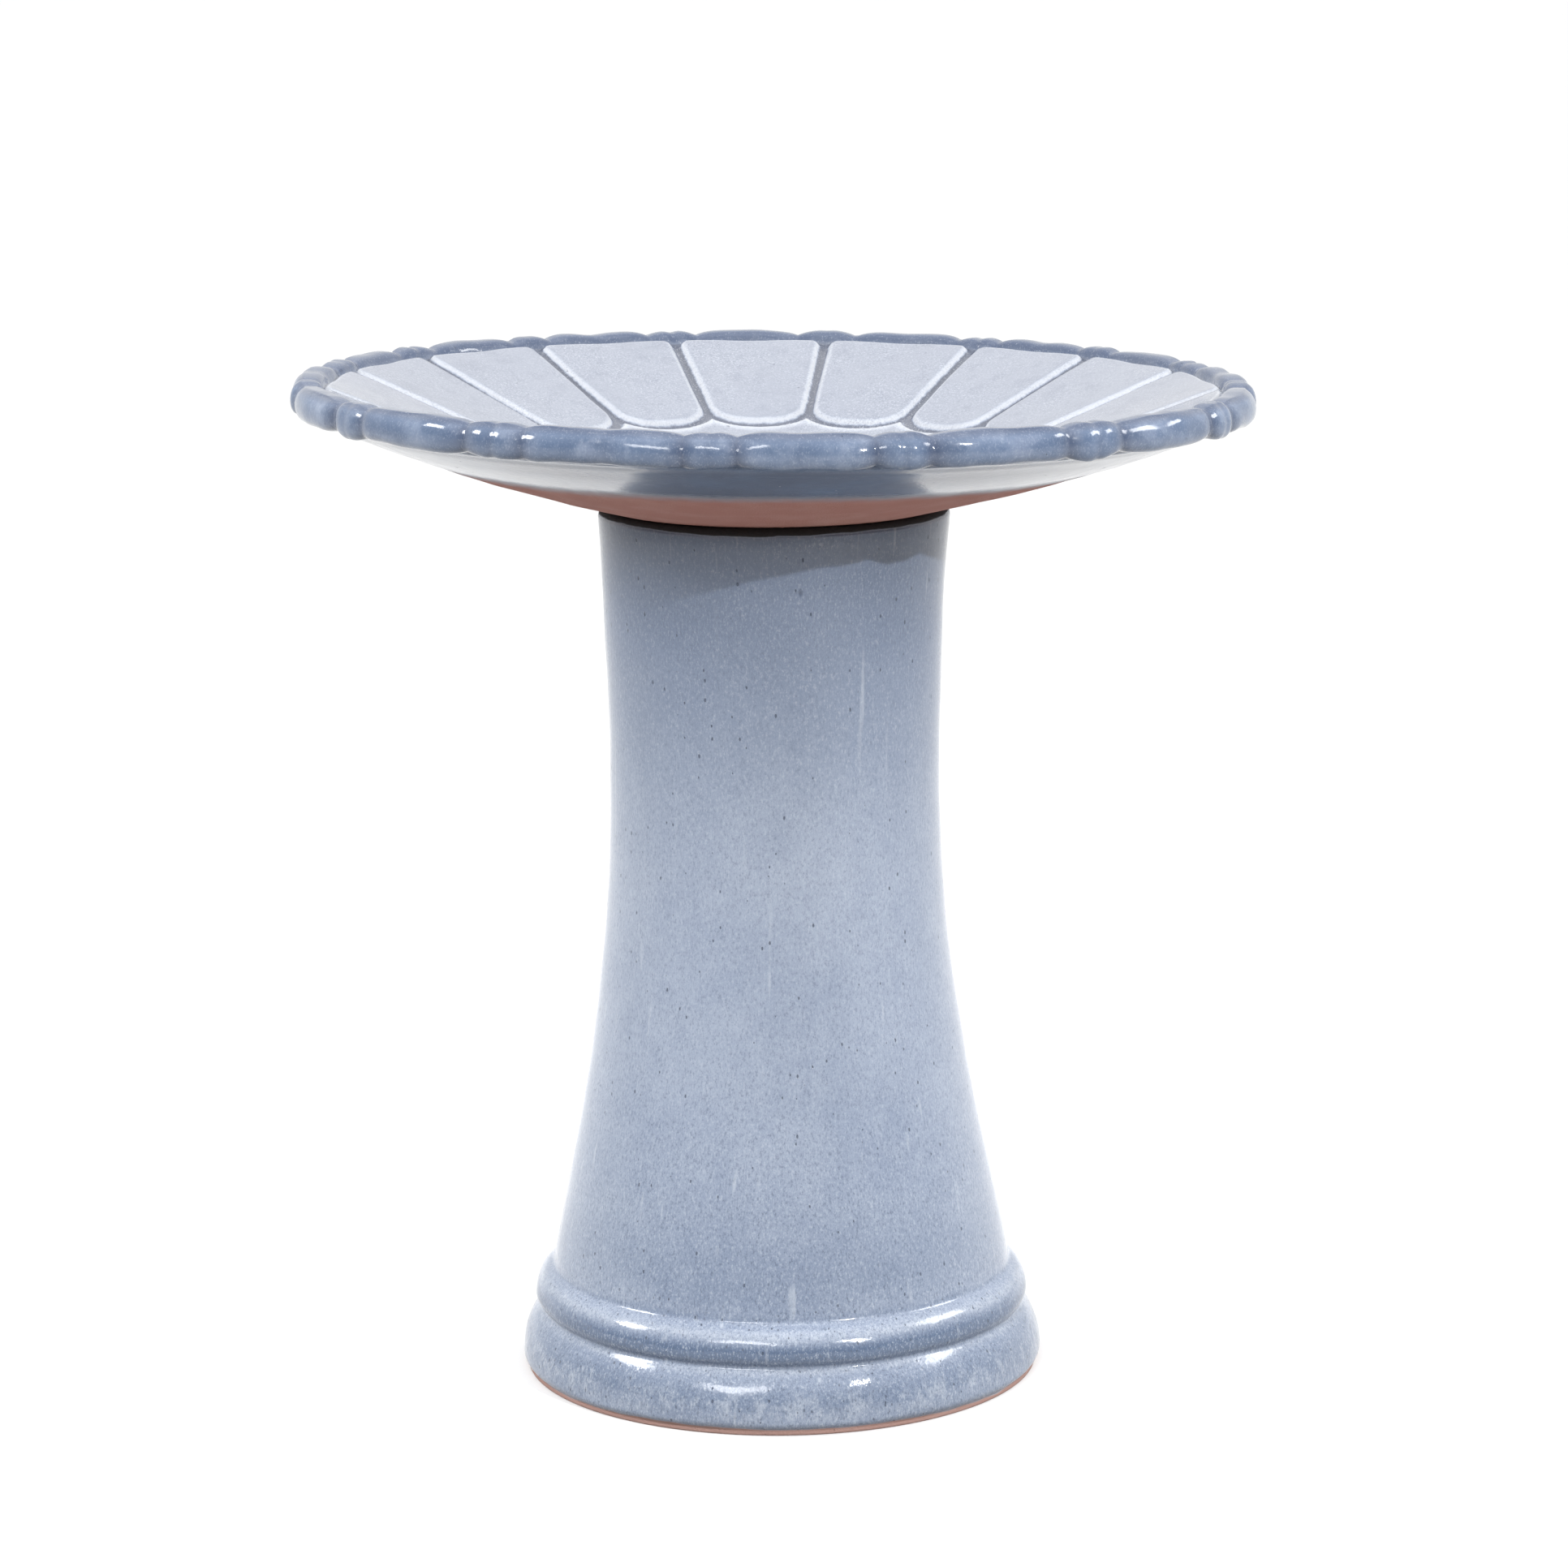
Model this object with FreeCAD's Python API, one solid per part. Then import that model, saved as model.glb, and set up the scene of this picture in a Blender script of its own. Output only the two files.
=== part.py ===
"""Two-piece glazed terracotta bird bath: a hollow flared pedestal and a petalled basin that rests on it.

Millimetres, +Z up, origin at the centre of the pedestal's foot on the ground.
"""
import FreeCAD, Part
import math
import os

# ---------------------------------------------------------------- overall sizes
basin_diameter = 457.2        # across the fat rolled lip
pedestal_height = 421.5       # ground to the flat seat at the top
basin_height = 65.0           # seat to the top of the lip
base_diameter = 253.8         # across the lower, wider base moulding

# ---------------------------------------------------------------- pedestal
column_wall = 12.0            # fired clay wall of the column
base_wall = 16.0              # thicker wall at the foot
foot_setback = 2.4            # bare foot, in from the lower moulding
foot_height = 2.6             # unglazed strip left where the piece stood in the kiln
lower_bead_height = 7.0       # widest line of the lower moulding
crease_height = 31.0          # crease between the two mouldings
crease_setback = 9.2          # crease bottom, in from the lower moulding
upper_bead_height = 35.5      # widest line of the upper moulding
upper_bead_setback = 6.5      # upper moulding, in from the lower one
column_foot_height = 50.0     # where the column leaves the upper moulding
column_foot_setback = 15.1    # column there, in from the lower moulding
flare_height = 120.0          # lower column, where it still runs almost straight
flare_share = 0.565           # part of the spread from waist to column foot reached there
knee_height = 195.0           # where the flare turns into the waist
knee_share = 0.178            # part of that spread reached at the knee
waist_radius = 78.7           # slimmest part of the column
waist_height = 307.0
neck_radius = 83.8            # column just under the seat
shoulder_radius = 4.3         # rounded edge between the column and the seat
mouth_edge = 1.5              # softened inner edge of the mouth

# ---------------------------------------------------------------- basin
basin_wall = 14.0             # dish thickness, square to its surface
lip_radius = 8.3              # section radius of the rolled lip
lip_bite = 0.8                # how far the dish is let into the lip
underside_belly = 3.4         # how far the underside swells from its chord
base_land = 0.8               # the basin's flat base stops this far inside the shoulder
ring_clearance = 2.5          # locating ring to pedestal mouth, all round and below
ring_width = 12.0
ring_depth = 12.0             # how deep the ring drops into the mouth
ring_edge = 2.0               # rounded bottom edges of the ring

# ---------------------------------------------------------------- petal relief inside the basin
petal_count = 16
groove_width = 5.5            # gap between neighbouring petals
groove_depth = 2.0
petal_inner_radius = 128.0    # rounded inner ends of the petals
petal_end_gap = 7.3           # outer ends of the petals to the lip's centre line
petal_inner_corner = 13.0     # plan radius of the corners at the inner end
petal_outer_corner = 8.0      # plan radius of the corners at the rim
relief_overlap = 1.0          # cutting layer stands this far above the surface

tolerance = 0.01              # for picking edges by where they lie

basin_radius = basin_diameter / 2
base_radius = base_diameter / 2
foot_radius = base_radius - foot_setback
column_foot_radius = base_radius - column_foot_setback
seat_radius = neck_radius - shoulder_radius
mouth_radius = neck_radius - column_wall
basin_base_radius = seat_radius - base_land
ring_outer_radius = mouth_radius - ring_clearance
ring_inner_radius = ring_outer_radius - ring_width
lip_centre_radius = basin_radius - lip_radius
lip_centre_height = basin_height - lip_radius
petal_outer_radius = lip_centre_radius - petal_end_gap


def point(radius, height):
    """A point of a half section, in the XZ plane."""
    return FreeCAD.Vector(radius, 0, height)


def line(start, end):
    return Part.LineSegment(start, end).toShape()


def bulged_arc(start, end, bulge):
    """Arc from start to end that swells by bulge to the right of the way it runs."""
    along = end - start
    side = FreeCAD.Vector(along.z, 0, -along.x)
    side.normalize()
    middle = (start + end) * 0.5 + side * bulge
    return Part.Arc(start, middle, end).toShape()


def arc_from_vertical(start, end):
    """Arc that leaves start straight up or down and ends at end, nearer the axis."""
    inward = start.x - end.x
    rise = end.z - start.z
    radius = (inward ** 2 + rise ** 2) / (2 * inward)
    centre = point(start.x - radius, start.z)
    half_turn = 0.5 * math.asin(rise / radius)
    middle = point(centre.x + radius * math.cos(half_turn), centre.z + radius * math.sin(half_turn))
    return Part.Arc(start, middle, end).toShape()


def quarter_arc(start, end, centre):
    """Round a corner from start to end about centre."""
    outward = (start - centre) + (end - centre)
    outward.normalize()
    middle = centre + outward * (start - centre).Length
    return Part.Arc(start, middle, end).toShape()


def revolved(edges):
    """Solid of revolution about +Z of a closed half section, its edges in order."""
    face = Part.Face(Part.Wire(edges))
    return face.revolve(FreeCAD.Vector(0, 0, 0), FreeCAD.Vector(0, 0, 1), 360)


def column_curve(inset, top):
    """Smooth curve up the column, inset inside its outer face and ending at the point top."""
    spread = column_foot_radius - waist_radius
    curve = Part.BSplineCurve()
    curve.interpolate([
        point(column_foot_radius - inset, column_foot_height),
        point(waist_radius + flare_share * spread - inset, flare_height),
        point(waist_radius + knee_share * spread - inset, knee_height),
        point(waist_radius - inset, waist_height),
        top,
    ])
    return curve.toShape()


def make_pedestal():
    """Hollow column on a two-bead base, open through from foot to mouth."""
    foot_out = point(foot_radius, 0)
    foot_top = point(foot_radius, foot_height)
    lower_widest = point(base_radius, lower_bead_height)
    crease = point(base_radius - crease_setback, crease_height)
    upper_widest = point(base_radius - upper_bead_setback, upper_bead_height)
    column_foot = point(column_foot_radius, column_foot_height)
    neck = point(neck_radius, pedestal_height - shoulder_radius)
    seat_out = point(seat_radius, pedestal_height)
    seat_in = point(mouth_radius + mouth_edge, pedestal_height)
    mouth = point(mouth_radius, pedestal_height - mouth_edge)
    mouth_base = point(mouth_radius, pedestal_height - ring_depth - ring_clearance)
    inner_foot = point(column_foot_radius - column_wall, column_foot_height)
    hollow_foot = point(foot_radius - base_wall, 0)
    outline = [
        line(foot_out, foot_top),
        arc_from_vertical(lower_widest, foot_top),
        arc_from_vertical(lower_widest, crease),
        arc_from_vertical(upper_widest, crease),
        arc_from_vertical(upper_widest, column_foot),
        column_curve(0, neck),
        quarter_arc(neck, seat_out, point(seat_out.x, neck.z)),
        line(seat_out, seat_in),
        quarter_arc(seat_in, mouth, point(seat_in.x, mouth.z)),
        line(mouth, mouth_base),
        column_curve(column_wall, mouth_base),
        line(inner_foot, hollow_foot),
        line(hollow_foot, foot_out),
    ]
    return revolved(outline)


def underside_circle():
    """Centre and radius of the arc that the dish's underside follows in section."""
    start = point(basin_base_radius, 0)
    end = point(lip_centre_radius, lip_centre_height - lip_radius + lip_bite)
    circle = bulged_arc(start, end, underside_belly).Curve
    return circle.Center, circle.Radius


def dish_point(depth, radius):
    """Point at a given radius on the dish surface that lies depth inside the underside."""
    centre, underside_radius = underside_circle()
    arc_radius = underside_radius - depth
    return point(radius, centre.z - math.sqrt(arc_radius ** 2 - (radius - centre.x) ** 2))


def dish_arc(depth, start_radius, end_radius):
    """Arc of the dish surface that lies depth inside the underside, between two radii."""
    middle_radius = (start_radius + end_radius) / 2
    start = dish_point(depth, start_radius)
    middle = dish_point(depth, middle_radius)
    end = dish_point(depth, end_radius)
    return Part.Arc(start, middle, end).toShape()


def make_dish():
    """Shallow dish with a flat floor inside and a flat base outside."""
    wall_end = lip_centre_radius - lip_radius / 2
    underside_end = dish_point(0, lip_centre_radius)
    inner_end = dish_point(basin_wall, wall_end)
    inner_start = dish_point(basin_wall, basin_base_radius)
    floor_centre = point(0, inner_start.z)
    base_centre = point(0, 0)
    return revolved([
        line(base_centre, point(basin_base_radius, 0)),
        dish_arc(0, basin_base_radius, lip_centre_radius),
        line(underside_end, inner_end),
        dish_arc(basin_wall, basin_base_radius, wall_end),
        line(inner_start, floor_centre),
        line(floor_centre, base_centre),
    ])


def make_lip():
    """Fat rolled lip round the dish."""
    centre = FreeCAD.Vector(0, 0, lip_centre_height)
    return Part.makeTorus(lip_centre_radius, lip_radius, centre, FreeCAD.Vector(0, 0, 1))


def make_locating_ring():
    """Ring under the basin that drops into the pedestal's mouth, with its root inside the dish."""
    bottom = FreeCAD.Vector(0, 0, -ring_depth)
    outer = Part.makeCylinder(ring_outer_radius, ring_depth + basin_wall / 2, bottom)
    inner = Part.makeCylinder(ring_inner_radius, ring_depth, bottom)
    ring = outer.cut(inner)
    bottom_edges = [edge for edge in ring.Edges if edge.BoundBox.ZMax < tolerance - ring_depth]
    return ring.makeFillet(ring_edge, bottom_edges)


def upright_edges(prism, radius):
    """The prism's upright edges that stand at a given radius from the axis."""
    edges = []
    for edge in prism.Edges:
        centre = edge.CenterOfMass
        is_upright = edge.BoundBox.ZLength > basin_height - tolerance
        if is_upright and abs(math.hypot(centre.x, centre.y) - radius) < tolerance:
            edges.append(edge)
    return edges


def petal_prism(grow):
    """Upright prism with one petal's rounded plan, centred on +X and grown all round by grow."""
    half_angle = math.pi / petal_count
    side_gap = groove_width / 2 - grow
    inner = petal_inner_radius - grow
    outer = petal_outer_radius + grow

    def corner(radius, sign):
        """Where a petal's side, side_gap from the groove's middle, crosses a circle."""
        angle = half_angle - math.asin(side_gap / radius)
        return FreeCAD.Vector(radius * math.cos(angle), sign * radius * math.sin(angle), 0)

    outline = Part.Wire([
        Part.Arc(corner(inner, 1), FreeCAD.Vector(inner, 0, 0), corner(inner, -1)).toShape(),
        line(corner(inner, -1), corner(outer, -1)),
        Part.Arc(corner(outer, -1), FreeCAD.Vector(outer, 0, 0), corner(outer, 1)).toShape(),
        line(corner(outer, 1), corner(inner, 1)),
    ])
    prism = Part.Face(outline).extrude(FreeCAD.Vector(0, 0, basin_height))
    prism = prism.makeFillet(petal_inner_corner + grow, upright_edges(prism, inner))
    return prism.makeFillet(petal_outer_corner, upright_edges(prism, outer))


def all_round(shape):
    """One copy of the shape for each petal, turned about the axis so that +X lies in a groove."""
    step = 360 / petal_count
    copies = []
    for number in range(petal_count):
        copy = shape.copy()
        copy.rotate(FreeCAD.Vector(0, 0, 0), FreeCAD.Vector(0, 0, 1), step * (number + 0.5))
        copies.append(copy)
    return copies


def make_relief():
    """What is grooved away between the petals and round the scalloped disc in the middle."""
    start = petal_inner_radius - groove_width - petal_inner_corner
    end = petal_outer_radius + groove_width / 2
    bottom = basin_wall - groove_depth
    top = basin_wall + relief_overlap
    layer = revolved([
        dish_arc(bottom, start, end),
        line(dish_point(bottom, end), dish_point(top, end)),
        dish_arc(top, start, end),
        line(dish_point(top, start), dish_point(bottom, start)),
    ])
    disc = Part.makeCylinder(petal_inner_radius, basin_height)
    disc = disc.cut(all_round(petal_prism(groove_width)))
    return layer.cut(all_round(petal_prism(0)) + [disc])


def make_basin():
    """Petalled dish with its lip and locating ring, standing on the pedestal's seat."""
    dish = make_dish().cut(make_relief())
    basin = dish.fuse([make_lip(), make_locating_ring()])
    basin = basin.removeSplitter()
    basin.translate(FreeCAD.Vector(0, 0, pedestal_height))
    return basin


def single_solid(shape):
    """The one solid of a fired piece."""
    assert shape.isValid() and len(shape.Solids) == 1, "a fired piece is one sound solid"
    return shape.Solids[0]


nodes = {
    "pedestal": make_pedestal,
    "basin": make_basin,
}

os.makedirs("parts", exist_ok=True)
for name, make in nodes.items():
    piece = single_solid(make())
    piece.exportStep("parts/" + name + ".step")
    print(name, "volume", round(piece.Volume), "mm3")
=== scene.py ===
"""Looks of the glazed terracotta bird bath: a petalled basin resting on a hollow flared pedestal.

Lengths are in millimetres until a mesh is made, and in metres in the scene. +Z is up.
"""

import math

import bpy
import numpy as np
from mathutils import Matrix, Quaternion, Vector


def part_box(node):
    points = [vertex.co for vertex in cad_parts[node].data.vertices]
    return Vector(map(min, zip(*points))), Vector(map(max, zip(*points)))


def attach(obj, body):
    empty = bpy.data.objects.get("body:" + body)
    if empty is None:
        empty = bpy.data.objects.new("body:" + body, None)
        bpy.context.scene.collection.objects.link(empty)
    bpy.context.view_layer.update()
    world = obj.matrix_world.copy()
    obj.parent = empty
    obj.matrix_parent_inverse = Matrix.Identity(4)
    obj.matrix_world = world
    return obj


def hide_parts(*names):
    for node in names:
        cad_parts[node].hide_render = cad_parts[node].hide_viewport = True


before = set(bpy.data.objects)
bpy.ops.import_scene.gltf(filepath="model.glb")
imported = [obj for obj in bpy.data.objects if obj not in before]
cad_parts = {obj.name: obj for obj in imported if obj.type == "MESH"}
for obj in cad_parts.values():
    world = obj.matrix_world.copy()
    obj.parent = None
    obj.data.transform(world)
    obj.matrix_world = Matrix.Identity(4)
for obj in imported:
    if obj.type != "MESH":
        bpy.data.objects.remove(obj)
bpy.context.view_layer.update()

METRE = 0.001

# ---------------------------------------------------------------- sizes taken from the CAD
pedestal_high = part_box("pedestal")[1]
basin_low, basin_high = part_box("basin")
seat_height = pedestal_high.z / METRE
base_radius = pedestal_high.x / METRE
rim_radius = basin_high.x / METRE
rim_top = basin_high.z / METRE
ring_bottom = basin_low.z / METRE

# ---------------------------------------------------------------- pedestal section
FOOT_RADIUS = base_radius - 2.4
FOOT_HEIGHT = 2.6
LOWER_BEAD = (base_radius, 7.0)
CREASE = (base_radius - 9.2, 31.0)
UPPER_BEAD = (base_radius - 6.5, 35.5)
COLUMN_FOOT = (base_radius - 15.1, 50.0)
SHOULDER = 4.3
COLUMN_HEIGHTS = [50.0, 120.0, 195.0, 307.0, seat_height - SHOULDER]
COLUMN_RADII = [COLUMN_FOOT[0], 97.4, 84.6, 78.7, 83.8]
COLUMN_WALL = 12.0
MOUTH_RADIUS = 71.8
MOUTH_DEPTH = 14.5
HOLLOW_FOOT_RADIUS = FOOT_RADIUS - 16.0
BARE_SHOULDER = seat_height - 2.6      # glaze stops about here below the seat
BARE_INSIDE = -8.0                     # how far the seat and the hollow lie from the glaze, so both are bare
AROUND_PEDESTAL = 480                  # points round the pedestal's mesh

# ---------------------------------------------------------------- basin section
LIP_RADIUS = 8.3
LIP_SQUARE = 3.1                       # 2 would make the lip round in section; more makes it squarer
LIP_CENTRE = rim_radius - LIP_RADIUS
BASIN_BASE = 78.7
UNDERSIDE_END = rim_top - 2 * LIP_RADIUS + 0.8
UNDERSIDE_BELLY = 3.4
FLOOR_HEIGHT = seat_height + 14.4
PETAL_START_HEIGHT = FLOOR_HEIGHT + 12.1
PETAL_SLOPE = 0.381
RING_OUTER = 69.3
RING_INNER = 57.3
RING_EDGE = 2.0
BARE_UNDERSIDE = 151.0                 # glaze stops about here under the basin

# ---------------------------------------------------------------- petals
# Azimuths of the grooves, which don't stand evenly, in degrees round +Z from +X. About half follow
# measurements of the far side. The others are given, and those under the near lip are judged.
GROOVES = [5.8, 28.3, 48.8, 68.3, 90.1, 111.3, 132.3, 152.8,
           172.3, 194.3, 219.3, 244.3, 270.3, 291.8, 316.3, 341.8]
PETAL_INNER = 127.6
PETAL_OUTER = 211.6
INNER_CORNER = 14.0
OUTER_CORNER = 4.5
GROOVE_HALF = 2.2
GROOVE_HALF_RIM = 2.6
GROOVE_DEPTH = 2.9
DISC_GAP = 5.2
LUMP_DEPTH = 2.5
AROUND_BASIN = 548                     # points round the basin's mesh
LUMP_HALF = 3.4                        # half the width of the lip's lump at a groove, degrees

# ---------------------------------------------------------------- warping in the kiln
SIDE_AZIMUTH = math.radians(7.3)       # the low side of the warped rim
RIM_WARP = 3.5
COLUMN_LEAN = 0.9                      # the column's waist stands off its foot, away from the low side
WARP_START = 85.0
WARP_SPAN = 143.6


def smooth(value, low, high):
    """0 below low, 1 above high, eased in between."""
    share = np.clip((value - low) / (high - low), 0, 1)
    return share * share * (3 - 2 * share)


def soft_max(first, second, width):
    """The greater of two values, with the change from one to the other rounded over width."""
    share = np.clip(0.5 + 0.5 * (first - second) / width, 0, 1)
    return second * (1 - share) + first * share + width * share * (1 - share)


def angle_from(angles, centre):
    """Signed angle from centre, in degrees between -180 and 180."""
    return (angles - centre + 180) % 360 - 180


def ripple(angles, terms):
    """Sum of waves round the axis, each (height, waves per turn, phase)."""
    total = 0
    for height, waves, phase in terms:
        total = total + height * np.sin(np.radians(angles) * waves + phase)
    return total


def natural_spline(heights, radii, at):
    """Smooth curve through a few points, straight at both ends."""
    x = np.array(heights, float)
    y = np.array(radii, float)
    step = np.diff(x)
    count = len(x)
    matrix = np.eye(count)
    right = np.zeros(count)
    for i in range(1, count - 1):
        matrix[i, i - 1] = step[i - 1]
        matrix[i, i] = 2 * (step[i - 1] + step[i])
        matrix[i, i + 1] = step[i]
        right[i] = 6 * ((y[i + 1] - y[i]) / step[i] - (y[i] - y[i - 1]) / step[i - 1])
    bend = np.linalg.solve(matrix, right)
    i = np.clip(np.searchsorted(x, at) - 1, 0, count - 2)
    left = at - x[i]
    rest = x[i + 1] - at
    width = step[i]
    return (bend[i] * rest ** 3 / (6 * width) + bend[i + 1] * left ** 3 / (6 * width)
            + (y[i] / width - bend[i] * width / 6) * rest
            + (y[i + 1] / width - bend[i + 1] * width / 6) * left)


def bead_radius(widest, end, heights):
    """Radius of a moulding that leaves its widest line straight up or down and ends at end."""
    inward = widest[0] - end[0]
    rise = end[1] - widest[1]
    radius = (inward ** 2 + rise ** 2) / (2 * inward)
    reach = np.clip(radius ** 2 - (heights - widest[1]) ** 2, 0, None)
    return widest[0] - radius + np.sqrt(reach)


# ---------------------------------------------------------------- meshes
def revolved_mesh(name, grid, values, poles):
    """Closed mesh from rings of points. poles are its first and last point, or nothing for a tube."""
    rings, around = grid.shape[:2]
    points = grid.reshape(-1, 3) * METRE
    here = np.arange(rings * around).reshape(rings, around)
    follow = np.roll(here, -1, axis=1)
    quads = np.stack([here[:-1], here[1:], follow[1:], follow[:-1]], axis=-1).reshape(-1, 4)
    faces = quads.tolist()
    if poles:
        points = np.vstack([points, np.array(poles) * METRE])
        first = rings * around
        last = first + 1
        for i in range(around):
            faces.append([first, int(here[0, i]), int(follow[0, i])])
            faces.append([last, int(follow[-1, i]), int(here[-1, i])])
    else:
        seam = np.stack([here[-1], here[0], follow[0], follow[-1]], axis=-1)
        faces += seam.tolist()
    mesh = bpy.data.meshes.new(name)
    mesh.from_pydata(points.tolist(), [], faces)
    for label, ring_values in values.items():
        attribute = mesh.attributes.new(label, "FLOAT", "POINT")
        flat = np.zeros(len(points), np.float32)
        flat[:rings * around] = ring_values.reshape(-1)
        if poles:
            flat[-2] = ring_values[0].mean()
            flat[-1] = ring_values[-1].mean()
        attribute.data.foreach_set("value", flat)
    mesh.polygons.foreach_set("use_smooth", [True] * len(mesh.polygons))
    mesh.update()
    piece = bpy.data.objects.new(name, mesh)
    bpy.context.scene.collection.objects.link(piece)
    return piece


def spun(radii, heights, angles):
    """Grid of points from radii and heights by ring and angle."""
    turn = np.radians(angles)[None, :]
    return np.stack([radii * np.cos(turn), radii * np.sin(turn), heights], axis=-1)


# ---------------------------------------------------------------- pedestal
def pedestal_outer(heights):
    """Outer radius up the pedestal, with glaze filling the creases a little."""
    step = 0.25
    spread = 12                        # points each side that the softening takes in
    fine = np.arange(FOOT_HEIGHT, seat_height - SHOULDER, step)
    radii = natural_spline(COLUMN_HEIGHTS, COLUMN_RADII, np.maximum(fine, COLUMN_FOOT[1]))
    upper = bead_radius(UPPER_BEAD, COLUMN_FOOT, fine)
    under_upper = bead_radius(UPPER_BEAD, CREASE, fine)
    lower = bead_radius(LOWER_BEAD, CREASE, fine)
    under_lower = bead_radius(LOWER_BEAD, (FOOT_RADIUS, FOOT_HEIGHT), fine)
    radii = np.where(fine < COLUMN_FOOT[1], upper, radii)
    radii = np.where(fine < UPPER_BEAD[1], under_upper, radii)
    radii = np.where(fine < CREASE[1], lower, radii)
    radii = np.where(fine < LOWER_BEAD[1], under_lower, radii)
    kernel = np.exp(-(np.arange(-spread, spread + 1) * step / 1.1) ** 2)
    kernel = kernel / kernel.sum()
    padded = np.pad(radii, spread, mode="edge")
    softened = np.convolve(padded, kernel, mode="valid")
    share = smooth(fine, 9.0, 13.0) * (1 - smooth(fine, 400.0, 410.0))
    return np.interp(heights, fine, radii * (1 - share) + softened * share)


def make_pedestal():
    angles = np.arange(AROUND_PEDESTAL) * 360 / AROUND_PEDESTAL
    outer = np.concatenate([
        np.linspace(FOOT_HEIGHT, LOWER_BEAD[1], 6)[:-1],
        np.linspace(LOWER_BEAD[1], 26.0, 13)[:-1],
        np.linspace(26.0, 37.0, 16)[:-1],
        np.linspace(37.0, 47.0, 9)[:-1],
        np.linspace(47.0, 55.0, 11)[:-1],
        np.linspace(55.0, seat_height - SHOULDER, 56),
    ])
    section = [(FOOT_RADIUS - 0.5, 0.0), (FOOT_RADIUS - 0.1, 0.25), (FOOT_RADIUS, 1.0), (FOOT_RADIUS, 1.8)]
    section += list(zip(pedestal_outer(outer), outer))
    shoulder_centre = COLUMN_RADII[-1] - SHOULDER
    for turn in np.radians([12, 24, 36, 48, 60, 72, 84, 90]):
        section.append((shoulder_centre + SHOULDER * math.cos(turn),
                        seat_height - SHOULDER + SHOULDER * math.sin(turn)))
    outer_rings = len(section)
    section += [(76.5, seat_height), (MOUTH_RADIUS + 1.5, seat_height)]
    section += [(MOUTH_RADIUS + 0.45, seat_height - 0.45), (MOUTH_RADIUS, seat_height - 1.5)]
    section += [(MOUTH_RADIUS, seat_height - 8), (MOUTH_RADIUS, seat_height - MOUTH_DEPTH)]
    inside_heights = COLUMN_HEIGHTS[:-1] + [seat_height - MOUTH_DEPTH]
    inside_radii = [radius - COLUMN_WALL for radius in COLUMN_RADII[:-1]] + [MOUTH_RADIUS]
    for height in np.linspace(seat_height - MOUTH_DEPTH - 6, COLUMN_FOOT[1], 26):
        section.append((float(natural_spline(inside_heights, inside_radii, height)), height))
    section += [(104.0, 25.0), (HOLLOW_FOOT_RADIUS, 0.6), (HOLLOW_FOOT_RADIUS + 0.6, 0.0), (116.0, 0.0)]
    section = np.array(section)
    radii = np.repeat(section[:, :1], len(angles), axis=1)
    heights = np.repeat(section[:, 1:], len(angles), axis=1)

    # Hand-made unevenness, fading out at the foot and the seat, where the piece has to sit flat.
    free = smooth(heights, 3.0, 30.0) * (1 - smooth(heights, seat_height - 30, seat_height - 6))
    turn = np.radians(angles)[None, :]
    wobble = (0.30 * np.sin(2 * turn + 0.6 + heights / 160) + 0.16 * np.sin(3 * turn + heights / 75)
              + 0.10 * np.sin(5 * turn - 1.3 + heights / 38))
    throwing = 0.07 * np.sin(heights / 5.1 + 0.8 * np.sin(turn + heights / 60)) \
        + 0.09 * np.sin(heights / 13.0 + 1.2 * np.cos(turn))
    column = smooth(heights, 52.0, 62.0)
    fuller = 0.6 * smooth(heights, 120, 200) * (1 - smooth(heights, 340, 400))
    radii = radii + free * (wobble - 0.2 + fuller + column * throwing)
    moulding = (1 - column) * smooth(heights, 4.0, 8.0)
    rubbed = 0.22 * np.sin(7 * turn + heights / 9) + 0.12 * np.sin(17 * turn - heights / 6)
    radii = radii + moulding * (rubbed - 0.34)

    foot_waves = [(0.5, 3, 0.4), (0.35, 7, 2.0), (0.2, 19, 1.1), (0.12, 43, 0.2)]
    foot_edge = FOOT_HEIGHT + 0.3 + ripple(angles, foot_waves)
    top_edge = BARE_SHOULDER + ripple(angles, [(0.6, 2, 1.4), (0.25, 5, 0.3), (0.12, 23, 2.2)])
    glaze = np.minimum(heights - foot_edge[None, :], top_edge[None, :] - heights)
    glaze[outer_rings:] = BARE_INSIDE
    shoulders = np.exp(-((heights - 45.0) / 2.2) ** 2) + np.exp(-((heights - 29.0) / 1.6) ** 2)
    shoulders = shoulders + 0.35 * np.exp(-((heights - 20.0) / 5.0) ** 2)
    pool = 0.6 * np.exp(-((heights - 31.6) / 0.8) ** 2) + 0.35 * np.exp(-((heights - 51.5) / 1.6) ** 2)
    pool = pool + 0.55 * np.exp(-((heights - 4.0) / 1.2) ** 2)
    # Bare clay within a few millimetres of the seat darkens to near black: a real stain, deepened with
    # painted shade of the gap under the basin.
    stain_and_shade = smooth(heights, seat_height - 12, seat_height - 5)
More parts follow.
